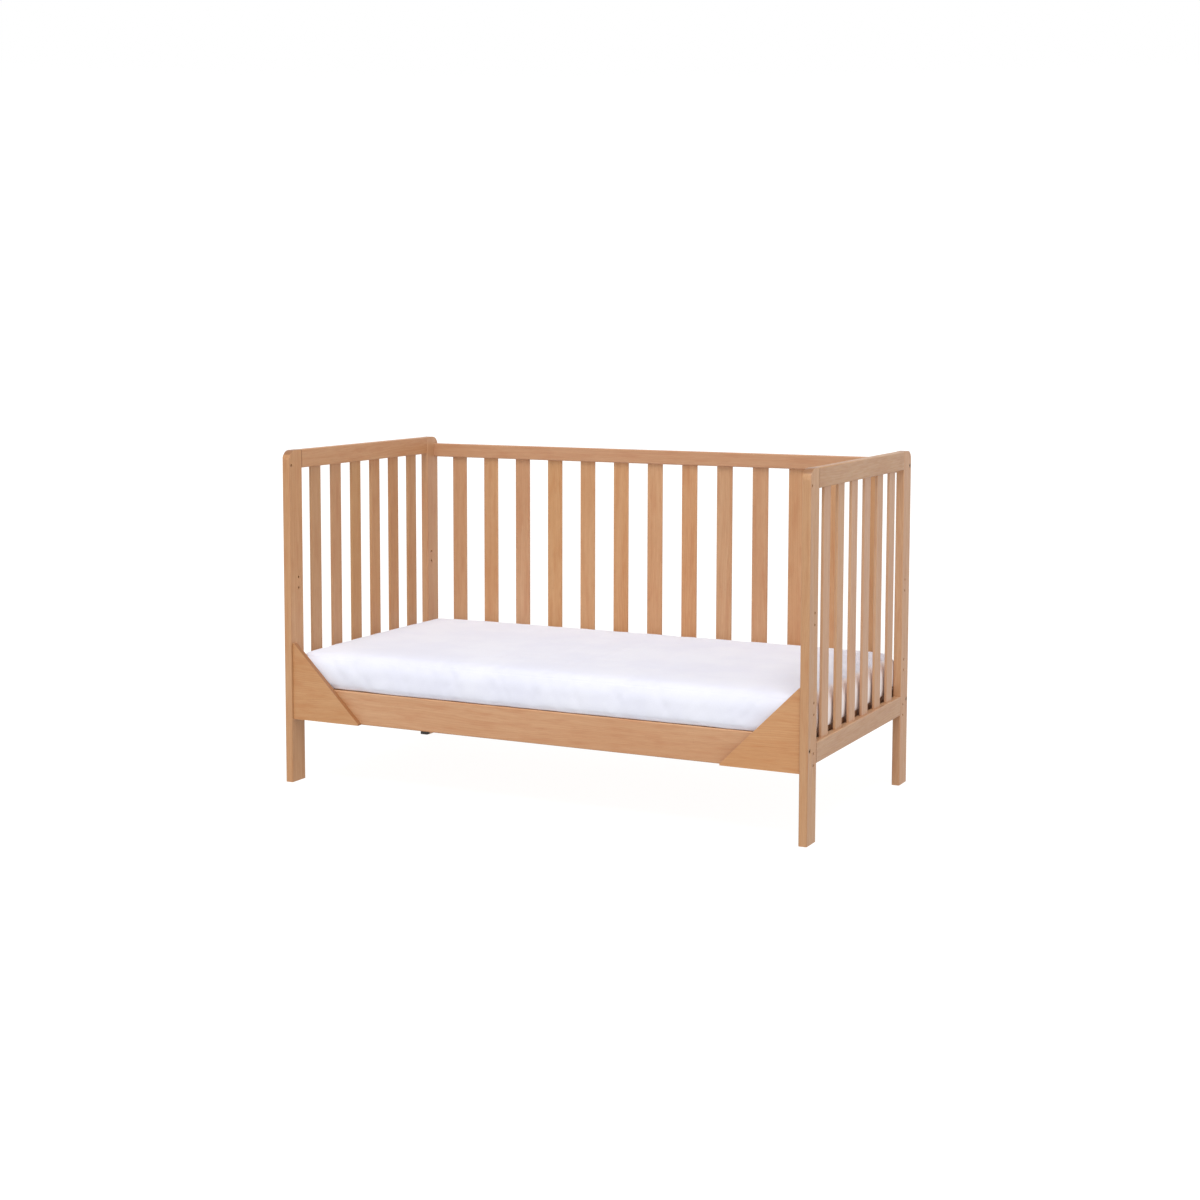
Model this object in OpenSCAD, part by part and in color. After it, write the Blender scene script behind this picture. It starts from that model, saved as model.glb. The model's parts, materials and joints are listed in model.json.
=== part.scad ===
// Convertible cot bed in its open-front form. It has two slatted ends, a slatted back, a low
// front rail between two corner boards, and a mattress on a base that sets at three heights.
// Millimetres. X runs along the bed, Y from front to back, Z up. The origin is on the floor,
// under the middle of the bed.

/* [Overall] */
// Length over the outer faces of the two ends
bed_l = 1450; // [1300:1:1600]
// Width over the front and rear faces of the ends
bed_w = 755; // [700:1:850]
// Height of the ends above the floor
bed_h = 874; // [860:1:1000]
// Radius of the long edges of posts and rails
edge_r = 3; // [1:0.5:5]

/* [Ends] */
// Thickness of the posts and rails of an end
end_t = 21; // [20:0.5:28]
// Width of a post
post_w = 60; // [55:1:80]
// Radius of the outer top corners
corner_r = 29; // [10:1:30]
// Height of the section of an end's top rail
end_top_h = 48; // [40:1:70]
// Height of the section of an end's bottom rail
end_bottom_h = 50; // [40:1:70]
// Height of the underside of an end's bottom rail
end_bottom_z = 185; // [150:1:220]
// Number of slats in an end
end_slats = 6; // [4:1:8]
// Width of a slat in an end
end_slat_w = 47; // [35:1:55]

/* [Slats] */
// Thickness of the slats
slat_t = 7; // [6:0.5:12]
// Radius of the long edges of the slats
slat_r = 2.5; // [1:0.5:3]
// Depth of the tenon at each end of a slat
tenon = 10; // [6:1:15]

/* [Back] */
// Height of the top of the back's top rail
back_top_z = 854; // [800:1:860]
// Height of the section of the back's top rail
back_top_h = 38; // [34:1:60]
// Thickness of the back's rails
back_t = 20; // [18:1:24]
// Distance of the back's rails inside the rear faces of the posts
back_inset = 1; // [0:0.5:4]
// Number of slats in the back
back_slats = 13; // [9:1:16]
// Width of a slat in the back
back_slat_w = 45; // [35:1:50]

/* [Front] */
// Height of the underside of the low rails at front and back
low_rail_z = 168; // [150:1:180]
// Height of the section of the low rails
low_rail_h = 84; // [75:1:95]
// Thickness of the front rail
front_rail_t = 16; // [14:1:18]
// Length of the front rail
front_rail_l = 1328; // [1200:1:1336]
// Thickness of a corner board
board_t = 15; // [14:1:18]
// Length of the two straight edges of a corner board
board_leg = 204; // [180:1:240]
// Distance of a corner board behind the front faces of the posts
board_inset = 7; // [3:1:10]
// Flat left on the two tips of a corner board
board_tip = 4; // [2:1:10]

/* [Base] */
// Height of the top of the slatted base in its lowest place
base_top_z = 253; // [253:1:256]
// Height of the section of the base's end rails
base_end_h = 25; // [23:1:28]
// Width of the section of the base's end rails
base_end_w = 28; // [24:1:32]
// Height of the section of the base's side rails
base_side_h = 44; // [35:1:50]
// Thickness of the base's side rails
base_side_t = 18; // [16:1:22]
// Number of cross slats in the base
base_slats = 11; // [8:1:13]
// Width of a cross slat
base_slat_w = 68; // [50:1:75]
// Thickness of a cross slat
base_slat_t = 9; // [8:0.5:10]
// Height of the upper hole of a pair, base at its lowest
hole_z_low = 212; // [208:1:214]
// Height of the upper hole of a pair, base at its middle height
hole_z_mid = 331; // [300:1:380]
// Height of the upper hole of a pair, base at its highest
hole_z_high = 540; // [450:1:600]
// Distance between the two holes of a pair
hole_pitch = 28; // [25:1:32]
// Distance of the base holes from the outer edge of their post
hole_inset = 38.5; // [35:0.5:42]
// Bore of the base holes
hole_d = 7; // [6.5:0.5:8]
// Thickness of the steel of a hanger bar
hanger_t = 2.5; // [2:0.5:3]
// Height of a hanger bar
hanger_h = 52; // [48:1:54]

/* [Mattress] */
// Length of the mattress
mattress_l = 1396; // [1200:1:1400]
// Width of the mattress, which laps over the front rail
mattress_w = 700; // [600:1:704]
// Thickness of the mattress
mattress_h = 88; // [60:1:120]
// Radius of the upright edges of the mattress
mattress_r = 28; // [5:1:60]

/* [Fasteners] */
// Thread diameter of the bolts that hold the back and the corner boards
bolt_d = 6; // [5:0.5:8]
// Length of a bolt under its head
bolt_l = 56; // [45:1:60]
// Diameter of a bolt's head
bolt_head_d = 10; // [9:0.5:12]
// Depth of the counterbore that sinks a bolt's head
counterbore = 5; // [4:0.5:6]
// Diameter of a barrel nut
nut_d = 10; // [10:0.5:12]
// Length of a barrel nut
nut_l = 11; // [10:0.5:11]
// Diameter of the dowels that join the ends and the base
dowel_d = 8; // [6:0.5:9]
// Length of the dowels that join the ends and the base
dowel_l = 30; // [20:1:34]
// Diameter of the locating dowels of the back and the corner boards
peg_d = 6; // [5:0.5:7]
// Length of those locating dowels
peg_l = 24; // [16:1:28]

/* [Hidden] */
$fn = 48;
fit = 0.1;            // gap round a tenon, all round
bore_fit = 0.05;      // gap round a dowel, pin, nut or screw, on the radius
bolt_fit = 0.25;      // gap round a bolt, on the radius
bore_end = 0.2;       // gap past each end of a dowel, nut or peg
through = 1;          // how far a cutting tool passes a face
board_r = 2;          // radius of the edges of the cross slats and of the clip

// Places of the ends
half_w = bed_w / 2;
outer_x = bed_l / 2;                      // outer face of an end
inner_x = outer_x - end_t;                // inner face of an end
end_x = outer_x - end_t / 2;              // middle of an end's thickness
rail_y = half_w - post_w;                 // where an end's rails meet its posts
end_top_z = bed_h - end_top_h;            // underside of an end's top rail
end_slat_z = end_bottom_z + end_bottom_h - tenon;
end_slat_l = end_top_z + tenon - end_slat_z;
end_rail_mid_z = [end_bottom_z + end_bottom_h / 2, bed_h - end_top_h / 2];
end_dowel_step = 12;                      // dowels above and below the middle of a rail

// Places of the back and the front
back_y = half_w - back_inset - back_t / 2;
back_slat_z = low_rail_z + low_rail_h - tenon;
back_slat_l = back_top_z - back_top_h + tenon - back_slat_z;
board_y = -(half_w - board_inset - board_t / 2);
front_rail_y = board_y + board_t / 2 + front_rail_t / 2;
board_gap = 0.4;                          // between a corner board and its post
low_bolt_up = 54;                         // bolts and pegs, above the underside of the low rails
low_peg_up = 22;
board_peg_up = 150;
top_peg_down = 7;                         // pegs of the back's top rail, below its top
top_bolt_z = back_top_z - back_top_h / 2;
low_bolt_z = low_rail_z + low_bolt_up;
nut_in = 30;                              // barrel nut, inside an end's inner face
bolt_places = [[back_y, top_bolt_z], [back_y, low_bolt_z], [board_y, low_bolt_z]];
back_top_peg = [back_y, back_top_z - top_peg_down];
back_low_peg = [back_y, low_rail_z + low_peg_up];
back_pegs = [back_top_peg, back_low_peg];
board_pegs = [for (up = [low_peg_up, board_peg_up]) [board_y, low_rail_z + up]];
bolt_head_h = 4;
hex_across = 4.6;                         // the head's hexagon socket, over its corners
hex_depth = 2.5;

// Screws: shank radius, length under the head, head radius, head height
rail_screw = [2, 24, 4, 2.5];
slat_screw = [1.75, 22, 3.5, 2];
hanger_screw = [2, 18, 4, 2.5];
clip_screw = [1.5, 18, 3, 1.5];
rail_screw_in = [144, 64];                        // from the end's inner face
rail_screw_up = [22, 57];                         // from the rail's underside
rail_screw_y = front_rail_y + front_rail_t / 2;

// The clip under the front rail
clip_x = -315;
clip_size = [20, 14, 7];

// Places of the base
pin_y = half_w - hole_inset;
pin_z = [hole_z_low, hole_z_low - hole_pitch];
hole_heights = [for (top = [hole_z_low, hole_z_mid, hole_z_high], step = [0, hole_pitch]) top - step];
base_half_w = 337;
base_end_gap = 4.5;                               // from the base to an end's inner face
base_dowel_down = 17;                             // from the top of the base
base_end_x = inner_x - base_end_gap - base_end_w / 2;
base_inner_x = base_end_x - base_end_w / 2;       // where the side rails meet it
base_side_y = base_half_w - base_side_t / 2;
base_side_z = base_top_z - base_slat_t - base_side_h / 2;
base_dowel_z = base_top_z - base_dowel_down;
hanger_gap = 3.5;                                 // from a hanger bar to an end's inner face
hanger_past_pin = 13;
hanger_slot_fit = 0.4;                            // gap round a pin's neck, on the radius
hanger_x = inner_x - hanger_gap;                  // outer face of a hanger bar
hanger_top_z = base_top_z - base_end_h;
hanger_half_l = pin_y + hanger_past_pin;
hanger_screw_step = 250;
hanger_screw_y = [for (k = [-1 : 1]) k * hanger_screw_step];

// A support pin, from its far end inward: radius and end of each step, from the post's inner face
pin_spigot_l = 16;
pin_collar = [6.5, 2];
pin_neck = [3, 7];
pin_head = [4.5, 9];

mattress_back = 25;                               // from the mattress to the rear of the bed
mattress_y = half_w - mattress_back - mattress_w / 2;
mattress_gap = 0.2;                               // under the mattress

wood = "#c89b76";
steel = "#9a9da1";
plastic = "#2f2b28";
ticking = "#eeeef4";

function spread(n, w, span) = let (gap = (span - n * w) / (n + 1))
    [for (k = [0 : n - 1]) -span / 2 + gap + w / 2 + k * (w + gap)];

end_slat_y = spread(end_slats, end_slat_w, 2 * rail_y);
back_slat_x = spread(back_slats, back_slat_w, 2 * inner_x);
base_slat_x = spread(base_slats, base_slat_w, 2 * base_inner_x);

SIDES = ["left", "right"];

// ---- Shapes that repeat ----

module rounded(a, b, r) {
    square([a - 2 * r, b], center = true);
    square([a, b - 2 * r], center = true);
    for (x = [-1, 1], y = [-1, 1])
        translate([x * (a / 2 - r), y * (b / 2 - r)]) circle(r);
}

// Bars with rounded long edges. Each is centred, and its name says which way it runs.
module bar_x(l, y, z, r) {
    rotate([90, 0, 90]) linear_extrude(l, center = true) rounded(y, z, r);
}

module bar_y(l, x, z, r) {
    rotate([90, 0, 0]) linear_extrude(l, center = true) rounded(x, z, r);
}

module bar_z(l, x, y, r) {
    linear_extrude(l, center = true) rounded(x, y, r);
}

// Round rods, centred
module rod_x(l, r) {
    rotate([0, 90, 0]) cylinder(h = l, r = r, center = true);
}

module rod_y(l, r) {
    rotate([90, 0, 0]) cylinder(h = l, r = r, center = true);
}

// A screw whose head's flat top is at the origin and whose shank runs down -Z
module screw(s, gap = 0) {
    translate([0, 0, -s[3] - gap]) cylinder(h = s[3] + gap + (gap > 0 ? through : 0), r = s[2] + gap);
    translate([0, 0, -s[3] - s[1] - gap]) cylinder(h = s[1] + gap + s[3] / 2, r = s[0] + gap);
}

// Draws its children on the right, or mirrored on the left
module on_side(side) {
    mirror([side == "left" ? 1 : 0, 0, 0]) children();
}

// Draws its children at both ends of the bed
module both_ends() {
    for (side = SIDES) on_side(side) children();
}

// ---- Tools that cut ----

// It starts in the counterbore and ends a little past the bolt's tip
module bolt_bore() {
    bore_l = bolt_l + 4 * through;
    translate([outer_x - counterbore - bolt_l / 2 - through, 0, 0]) rod_x(bore_l, bolt_d / 2 + bolt_fit);
}

module bolt_sink() {
    translate([outer_x, 0, 0]) rod_x(2 * counterbore, bolt_head_d / 2 + bolt_fit);
}

// A barrel nut's blind bore, which opens towards +Y
module nut_bore(open_l) {
    bottom = -nut_l / 2 - bore_end;
    translate([inner_x - nut_in, (open_l + bottom) / 2, 0])
        rod_y(open_l - bottom, nut_d / 2 + bore_fit);
}

module peg_bore() {
    translate([inner_x, 0, 0]) rod_x(peg_l + 2 * bore_end, peg_d / 2 + bore_fit);
}

module end_dowel_bores(z) {
    for (side = [-1, 1], step = [-1, 1])
        translate([end_x, side * rail_y, z + step * end_dowel_step])
            rod_y(dowel_l + 2 * bore_end, dowel_d / 2 + bore_fit);
}

// ---- Ends ----

// Outline of a rear post seen along X, from its inner edge
module post_outline() {
    square([post_w, bed_h - corner_r]);
    square([post_w - corner_r, bed_h]);
    translate([post_w - corner_r, bed_h - corner_r]) circle(corner_r, $fn = 72);
}

module post_blank() {
    intersection() {
        translate([end_x, rail_y + post_w / 2, bed_h / 2]) bar_z(bed_h, end_t, post_w, edge_r);
        translate([inner_x - through, rail_y, 0])
            rotate([90, 0, 90]) linear_extrude(end_t + 2 * through) post_outline();
    }
}

module base_holes() {
    for (z = hole_heights) translate([end_x, pin_y, z]) rod_x(end_t + 2 * through, hole_d / 2);
}

module rear_post() {
    color(wood) difference() {
        post_blank();
        base_holes();
        for (z = end_rail_mid_z) end_dowel_bores(z);
        for (z = [top_bolt_z, low_bolt_z]) translate([0, back_y, z]) {
            bolt_bore();
            bolt_sink();
        }
        for (p = back_pegs) translate([0, p[0], p[1]]) peg_bore();
    }
}

// A front post has one more hole near its top, left open when the front side is off
module front_post() {
    color(wood) difference() {
        mirror([0, 1, 0]) difference() {
            post_blank();
            base_holes();
            for (z = end_rail_mid_z) end_dowel_bores(z);
        }
        translate([0, board_y, low_bolt_z]) {
            bolt_bore();
            bolt_sink();
        }
        translate([end_x, -back_y, top_bolt_z]) rod_x(end_t + 2 * through, hole_d / 2);
        for (p = board_pegs) translate([0, p[0], p[1]]) peg_bore();
    }
}

module end_mortises(z) {
    for (y = end_slat_y) translate([end_x, y, z])
        bar_z(2 * (tenon + fit), slat_t + 2 * fit, end_slat_w + 2 * fit, slat_r + fit);
}

module end_top_rail() {
    color(wood) difference() {
        translate([end_x, 0, end_rail_mid_z[1]]) bar_y(2 * rail_y, end_t, end_top_h, edge_r);
        end_mortises(end_top_z);
        end_dowel_bores(end_rail_mid_z[1]);
    }
}

module end_bottom_rail() {
    color(wood) difference() {
        translate([end_x, 0, end_rail_mid_z[0]]) bar_y(2 * rail_y, end_t, end_bottom_h, edge_r);
        end_mortises(end_bottom_z + end_bottom_h);
        end_dowel_bores(end_rail_mid_z[0]);
    }
}

module end_slat(k) {
    color(wood) translate([end_x, end_slat_y[k - 1], end_slat_z + end_slat_l / 2])
        bar_z(end_slat_l, slat_t, end_slat_w, slat_r);
}

module end_dowels() {
    color(wood) both_ends() for (z = end_rail_mid_z, side = [-1, 1], step = [-1, 1])
        translate([end_x, side * rail_y, z + step * end_dowel_step]) rod_y(dowel_l, dowel_d / 2);
}

// ---- Back ----

module back_mortises(z) {
    for (x = back_slat_x) translate([x, back_y, z])
        bar_z(2 * (tenon + fit), back_slat_w + 2 * fit, slat_t + 2 * fit, slat_r + fit);
}

module back_rail_ends(bolt_z, peg_z) {
    both_ends() {
        translate([0, back_y, bolt_z]) {
            bolt_bore();
            nut_bore(back_t / 2 + through);
        }
        translate([0, back_y, peg_z]) peg_bore();
    }
}

module back_top_rail() {
    color(wood) difference() {
        translate([0, back_y, top_bolt_z]) bar_x(2 * inner_x, back_t, back_top_h, edge_r);
        back_mortises(back_top_z - back_top_h);
        back_rail_ends(top_bolt_z, back_top_peg[1]);
    }
}

module back_bottom_rail() {
    color(wood) difference() {
        translate([0, back_y, low_rail_z + low_rail_h / 2])
            bar_x(2 * inner_x, back_t, low_rail_h, edge_r);
        back_mortises(low_rail_z + low_rail_h);
        back_rail_ends(low_bolt_z, back_low_peg[1]);
    }
}

module back_slat(k) {
    color(wood) translate([back_slat_x[k - 1], back_y, back_slat_z + back_slat_l / 2])
        bar_z(back_slat_l, back_slat_w, slat_t, slat_r);
}

// ---- Front ----

module front_rail() {
    color(wood) difference() {
        translate([0, front_rail_y, low_rail_z + low_rail_h / 2])
            bar_x(front_rail_l, front_rail_t, low_rail_h, edge_r);
        both_ends() rail_screw_set(bore_fit);
        clip_screw_at(bore_fit);
    }
}

module rail_screw_set(gap = 0) {
    for (k = [0, 1]) translate([inner_x - rail_screw_in[k], rail_screw_y, low_rail_z + rail_screw_up[k]])
        rotate([-90, 0, 0]) screw(rail_screw, gap);
}

module clip_screw_at(gap = 0) {
    translate([clip_x, front_rail_y, low_rail_z - clip_size[2]])
        rotate([180, 0, 0]) screw(clip_screw, gap);
}

module corner_board_outline() {
    leg = board_leg;
    tip = board_tip;
    polygon([[0, 0], [leg - tip, 0], [leg - tip, tip], [tip, leg - tip], [0, leg - tip]]);
}

module corner_board() {
    color(wood) difference() {
        translate([inner_x - board_gap, board_y + board_t / 2, low_rail_z])
            mirror([1, 0, 0]) rotate([90, 0, 0]) linear_extrude(board_t) corner_board_outline();
        translate([0, board_y, low_bolt_z]) {
            bolt_bore();
            nut_bore(board_t / 2 + through);
        }
        for (p = board_pegs) translate([0, p[0], p[1]]) peg_bore();
        rail_screw_set(bore_fit);
    }
}

module rail_clip() {
    color(plastic) difference() {
        translate([clip_x, front_rail_y, low_rail_z - clip_size[2] / 2])
            bar_z(clip_size[2], clip_size[0], clip_size[1], board_r);
        clip_screw_at(bore_fit);
    }
}

// ---- Fasteners of the frame ----

module panel_bolts() {
    color(steel) both_ends() for (p = bolt_places)
        translate([outer_x - counterbore, p[0], p[1]]) difference() {
            union() {
                translate([-bolt_l / 2, 0, 0]) rod_x(bolt_l, bolt_d / 2);
                translate([bolt_head_h / 2, 0, 0]) rod_x(bolt_head_h, bolt_head_d / 2);
            }
            translate([bolt_head_h, 0, 0]) rotate([0, 90, 0])
                cylinder(h = 2 * hex_depth, d = hex_across, $fn = 6, center = true);
        }
}

module barrel_nuts() {
    color(steel) both_ends() for (p = bolt_places)
        translate([inner_x - nut_in, p[0], p[1]]) difference() {
            rod_y(nut_l, nut_d / 2);
            rod_x(2 * nut_d, bolt_d / 2 + bore_fit);
        }
}

module locating_dowels() {
    color(wood) both_ends() for (p = concat(back_pegs, board_pegs))
        translate([inner_x, p[0], p[1]]) rod_x(peg_l, peg_d / 2);
}

module rail_screws() {
    color(steel) {
        both_ends() rail_screw_set();
        clip_screw_at();
    }
}

// The pins stay in the lowest pair of holes of each post
module support_pins() {
    color(steel) both_ends() for (side = [-1, 1], z = pin_z)
        translate([inner_x, side * pin_y, z]) rotate([0, -90, 0]) {
            translate([0, 0, -pin_spigot_l]) cylinder(h = pin_spigot_l, r = hole_d / 2 - bore_fit);
            cylinder(h = pin_collar[1], r = pin_collar[0]);
            cylinder(h = pin_neck[1], r = pin_neck[0]);
            translate([0, 0, pin_neck[1]]) cylinder(h = pin_head[1] - pin_neck[1], r = pin_head[0]);
        }
}

// ---- Base ----

module base_dowel_at(side, gap = 0) {
    translate([base_inner_x, side * base_side_y, base_dowel_z])
        rod_x(dowel_l + 4 * gap, dowel_d / 2 + gap);
}

module slat_screw_set(side, gap = 0) {
    for (x = base_slat_x) translate([x, side * base_side_y, base_top_z]) screw(slat_screw, gap);
}

module base_side_rail(side) {
    color(wood) difference() {
        translate([0, side * base_side_y, base_side_z])
            bar_x(2 * base_inner_x, base_side_t, base_side_h, edge_r);
        both_ends() base_dowel_at(side, bore_fit);
        slat_screw_set(side, bore_fit);
    }
}

module hanger_screw_set(gap = 0) {
    for (y = hanger_screw_y)
        translate([base_end_x, y, hanger_top_z - hanger_t - hanger_screw[3]])
            rotate([180, 0, 0]) screw(hanger_screw, gap);
}

module base_end_rail() {
    color(wood) difference() {
        translate([base_end_x, 0, base_top_z - base_end_h / 2])
            bar_y(2 * base_half_w, base_end_w, base_end_h, edge_r);
        for (side = [-1, 1]) base_dowel_at(side, bore_fit);
        hanger_screw_set(bore_fit);
    }
}

module base_cross_slats() {
    color(wood) difference() {
        for (x = base_slat_x) translate([x, 0, base_top_z - base_slat_t / 2])
            bar_y(2 * base_half_w, base_slat_w, base_slat_t, board_r);
        for (side = [-1, 1]) slat_screw_set(side, bore_fit);
    }
}

module base_dowels() {
    color(wood) both_ends() for (side = [-1, 1]) base_dowel_at(side);
}

module base_screws() {
    color(steel) {
        for (side = [-1, 1]) slat_screw_set(side);
        both_ends() hanger_screw_set();
    }
}

// A steel angle under the base's end. Its slots are open below and drop over the pins.
module hanger_bar() {
    slot_r = pin_neck[0] + hanger_slot_fit;
    low_z = hanger_top_z - hanger_h;
    color(steel) difference() {
        union() {
            translate([hanger_x - hanger_t, -hanger_half_l, low_z])
                cube([hanger_t, 2 * hanger_half_l, hanger_h]);
            translate([hanger_x - base_end_w, -hanger_half_l, hanger_top_z - hanger_t])
                cube([base_end_w, 2 * hanger_half_l, hanger_t]);
        }
        for (side = [-1, 1]) translate([hanger_x - hanger_t / 2, side * pin_y, 0]) {
            translate([0, 0, hole_z_low]) rod_x(hanger_t + through, slot_r);
            translate([0, 0, (hole_z_low + low_z - through) / 2])
                cube([hanger_t + through, 2 * slot_r, hole_z_low - low_z + through], center = true);
        }
        hanger_screw_set(bore_fit);
    }
}

// ---- Mattress ----

module mattress() {
    color(ticking) translate([0, mattress_y, base_top_z + mattress_gap + mattress_h / 2])
        bar_z(mattress_h, mattress_l, mattress_w, mattress_r);
}

// ---- What is drawn ----

for (s = SIDES) {
    on_side(s) front_post();
    on_side(s) rear_post();
    on_side(s) end_top_rail();
    on_side(s) end_bottom_rail();
    for (k = [1 : end_slats])
        on_side(s) end_slat(k);
    on_side(s) corner_board();
    on_side(s) base_end_rail();
    on_side(s) hanger_bar();
}
back_top_rail();
back_bottom_rail();
for (k = [1 : back_slats])
    back_slat(k);
front_rail();
rail_clip();
end_dowels();
locating_dowels();
panel_bolts();
barrel_nuts();
rail_screws();
support_pins();
base_side_rail(-1);  // base_front_rail
base_side_rail(1);  // base_rear_rail
base_cross_slats();
base_dowels();
base_screws();
mattress();
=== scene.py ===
"""Looks of the cot bed: wood, metal and fabric materials, the mattress cover, light and camera."""
import functools
import json
import math

import bpy
import numpy as np
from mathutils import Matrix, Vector


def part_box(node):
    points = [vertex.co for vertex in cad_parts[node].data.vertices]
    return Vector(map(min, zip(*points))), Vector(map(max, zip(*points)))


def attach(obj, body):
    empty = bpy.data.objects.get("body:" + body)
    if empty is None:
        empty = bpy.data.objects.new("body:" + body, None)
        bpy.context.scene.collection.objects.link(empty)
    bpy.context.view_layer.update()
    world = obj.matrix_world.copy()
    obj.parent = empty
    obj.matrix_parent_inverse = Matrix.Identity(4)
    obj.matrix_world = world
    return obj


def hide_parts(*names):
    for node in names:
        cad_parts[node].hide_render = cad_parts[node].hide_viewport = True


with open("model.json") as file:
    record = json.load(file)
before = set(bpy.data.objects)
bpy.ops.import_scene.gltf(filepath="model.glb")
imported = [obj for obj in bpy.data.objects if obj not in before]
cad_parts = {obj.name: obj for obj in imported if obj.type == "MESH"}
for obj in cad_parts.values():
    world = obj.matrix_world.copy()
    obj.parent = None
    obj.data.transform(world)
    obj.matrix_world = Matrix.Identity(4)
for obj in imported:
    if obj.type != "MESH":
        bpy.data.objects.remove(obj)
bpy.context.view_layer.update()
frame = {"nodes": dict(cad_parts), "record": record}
nodes = frame["nodes"]
MM = 0.001


# ---------------------------------------------------------------- node helpers
class Nodes:
    """A node tree, with short ways to add nodes and links to it."""

    def __init__(self, tree):
        self.tree = tree

    def add(self, kind, **settings):
        node = self.tree.nodes.new(kind)
        for key, value in settings.items():
            setattr(node, key, value)
        return node

    def put(self, socket, value):
        """Links the socket to another one, or sets it to a constant."""
        if isinstance(value, bpy.types.NodeSocket):
            self.tree.links.new(value, socket)
        else:
            socket.default_value = value

    def math(self, operation, *values):
        node = self.add("ShaderNodeMath", operation=operation)
        for socket, value in zip(node.inputs, values):
            self.put(socket, value)
        return node.outputs[0]

    def vector(self, operation, *values):
        node = self.add("ShaderNodeVectorMath", operation=operation)
        for socket, value in zip(node.inputs, values):
            self.put(socket, value)
        return node.outputs["Value" if operation in ("LENGTH", "DOT_PRODUCT") else "Vector"]

    def noise(self, coords, scale, detail=2.0, rough=0.5, output="Fac"):
        node = self.add("ShaderNodeTexNoise")
        self.put(node.inputs["Vector"], coords)
        node.inputs["Scale"].default_value = scale
        node.inputs["Detail"].default_value = detail
        node.inputs["Roughness"].default_value = rough
        return node.outputs[output]

    def remap(self, value, low, high, to_low=0.0, to_high=1.0, smooth=True):
        """to_low where value is below low, to_high where it is above high, and a ramp between."""
        node = self.add("ShaderNodeMapRange", interpolation_type="SMOOTHSTEP" if smooth else "LINEAR")
        self.put(node.inputs["Value"], value)
        numbers = {"From Min": low, "From Max": high, "To Min": to_low, "To Max": to_high}
        for name, number in numbers.items():
            node.inputs[name].default_value = number
        return node.outputs[0]

    def mix(self, share, a, b):
        node = self.add("ShaderNodeMix", data_type="RGBA")
        self.put(node.inputs["Factor"], share)
        self.put(node.inputs["A"], a)
        self.put(node.inputs["B"], b)
        return node.outputs["Result"]

    def split(self, vector):
        node = self.add("ShaderNodeSeparateXYZ")
        self.put(node.inputs[0], vector)
        return node.outputs


class Material(Nodes):
    """A new material with one Principled shader."""

    def __init__(self, name):
        self.material = bpy.data.materials.new(name)
        self.material.use_nodes = True
        super().__init__(self.material.node_tree)
        self.tree.nodes.clear()
        self.shader = self.add("ShaderNodeBsdfPrincipled")
        output = self.add("ShaderNodeOutputMaterial")
        self.put(output.inputs[0], self.shader.outputs[0])

    @functools.cached_property
    def coords(self):
        """The object's own coordinates, in metres."""
        return self.add("ShaderNodeTexCoord").outputs["Object"]

    def shade(self, socket, value):
        self.put(self.shader.inputs[socket], value)

    def normal(self):
        return self.add("ShaderNodeNewGeometry").outputs["Normal"]

    def bump(self, height, strength, distance):
        node = self.add("ShaderNodeBump")
        node.inputs["Strength"].default_value = strength
        node.inputs["Distance"].default_value = distance
        self.put(node.inputs["Height"], height)
        self.shade("Normal", node.outputs[0])


def rgb(red, green, blue):
    """An sRGB colour given in 0 to 255 as Blender's linear RGBA."""
    parts = [c / 255 for c in (red, green, blue)]
    return [c / 12.92 if c <= 0.04045 else ((c + 0.055) / 1.055) ** 2.4 for c in parts] + [1.0]


# ---------------------------------------------------------------- wood
PALE_WOOD = rgb(200, 155, 114)
MID_WOOD = rgb(187, 134, 90)
RED_WOOD = rgb(180, 119, 76)
DARK_WOOD = rgb(143, 93, 57)
END_GRAIN = rgb(136, 89, 58)
# A lighter colour for the eased edges: a painted highlight, and worn lacquer
EDGE_HIGHLIGHT_AND_WEAR = rgb(216, 176, 137)
AXES = {"x": (1.0, 0.0, 0.0), "y": (0.0, 1.0, 0.0), "z": (0.0, 0.0, 1.0)}

# How light and how warm a board is, for the first of these that its name holds; the right end's slats and
# rails are less warm, a painted sheen, and its rails darker, painted shade
BOARD_TONES_AND_SHADE = [("right_corner", 1.14, 1.02), ("left_corner", 1.075, 1.06), ("front_rail", 1.13, 1.0),
         ("post", 1.045, 0.97), ("left_slat", 0.97, 1.0), ("right_slat", 1.08, 0.93),
         ("left_", 1.03, 1.0), ("right_", 0.96, 0.93)]
OTHER_TONE = (1.085, 1.0)

# What the grain is made of, in features per metre along the board and across it
SLOW_CHANGE = (2.2, 12.0)
FIGURE = (10.0, 75.0)
STREAKS = (26.0, 300.0)
FIBRES = (45.0, 1500.0)
FLECKS = (130.0, 900.0)
PITH_PATH = (1.1, 7.0)
RING_WOBBLE = (7.0, 55.0)

PITH_FROM, PITH_TO = 0.05, 0.11          # how far a board may lie from its tree's pith, in metres
PITH_WANDER = 0.07                       # how wide the pith's path swings along a board, in metres
WOBBLE_DEPTH = 0.008                     # how far a ring strays from its circle, in metres
BROAD_BANDS, RINGS = (60.0, 95.0), (210.0, 290.0)   # per metre from the pith
EASED_EDGE = 1.6 * MM


def grain(wood, coords, axis, features, detail=2.0, rough=0.5, output="Fac"):
    """Noise that changes slowly along the grain and fast across it."""
    along, across = features
    stretched = wood.vector("MULTIPLY", coords, [along if axis == k else across for k in "xyz"])
    return wood.noise(stretched, 1.0, detail, rough, output)


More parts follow.
